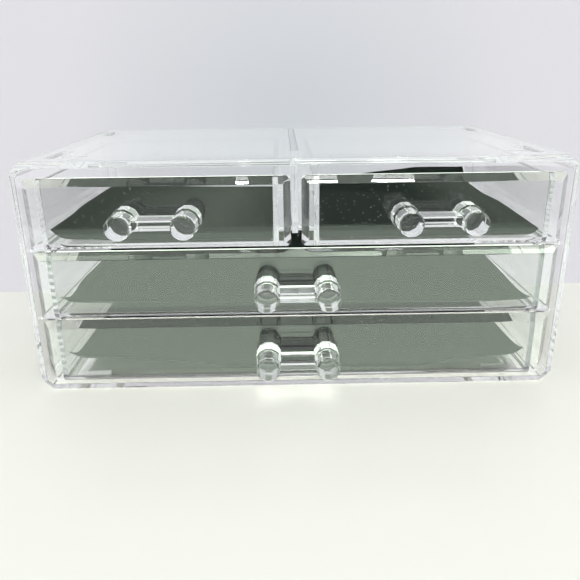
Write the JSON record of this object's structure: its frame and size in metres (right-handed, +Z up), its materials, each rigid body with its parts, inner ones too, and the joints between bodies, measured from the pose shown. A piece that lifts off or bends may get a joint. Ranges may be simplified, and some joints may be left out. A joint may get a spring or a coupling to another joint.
{
  "type": "drawer organizer",
  "caption": "Clear plastic box organizer with chamfered edges: half-width drawers above full-width ones, each with a faceted dumbbell handle and a dark mat.",
  "frame": {"origin": "middle of the overall footprint, on the surface that the feet stand on, with the drawers closed", "axes": "+X to the right seen from the front, +Y from the drawer fronts to the back, +Z up"},
  "size_m": [0.24, 0.1552, 0.1072],
  "materials": {
    "clear_case": "polished, colourless and transparent",
    "clear_drawer": "polished, colourless and transparent",
    "clear_handle": "moulded, colourless and transparent, faceted",
    "liner_mat": "matte dark grey-green, finely flecked"
  },
  "bodies": {
    "case": {"case_shell": "clear_case", "back_panel": "clear_case", "lower_shelf": "clear_case", "upper_shelf": "clear_case", "centre_divider": "clear_case"},
    "top_left_drawer": {"top_left_tray": "clear_drawer", "top_left_front": "clear_drawer", "top_left_handle": "clear_handle", "top_left_liner": "liner_mat"},
    "top_right_drawer": {"top_right_tray": "clear_drawer", "top_right_front": "clear_drawer", "top_right_handle": "clear_handle", "top_right_liner": "liner_mat"},
    "middle_drawer": {"middle_tray": "clear_drawer", "middle_front": "clear_drawer", "middle_handle": "clear_handle", "middle_liner": "liner_mat"},
    "bottom_drawer": {"bottom_tray": "clear_drawer", "bottom_front": "clear_drawer", "bottom_handle": "clear_handle", "bottom_liner": "liner_mat"}
  },
  "joints": [
    {"name": "top_left_slide", "type": "slide", "parent": "case", "child": "top_left_drawer", "axis": [0, -1, 0], "range_m": [0, 0.115]},
    {"name": "top_right_slide", "type": "slide", "parent": "case", "child": "top_right_drawer", "axis": [0, -1, 0], "range_m": [0, 0.115]},
    {"name": "middle_slide", "type": "slide", "parent": "case", "child": "middle_drawer", "axis": [0, -1, 0], "range_m": [0, 0.115]},
    {"name": "bottom_slide", "type": "slide", "parent": "case", "child": "bottom_drawer", "axis": [0, -1, 0], "range_m": [0, 0.115]}
  ]
}
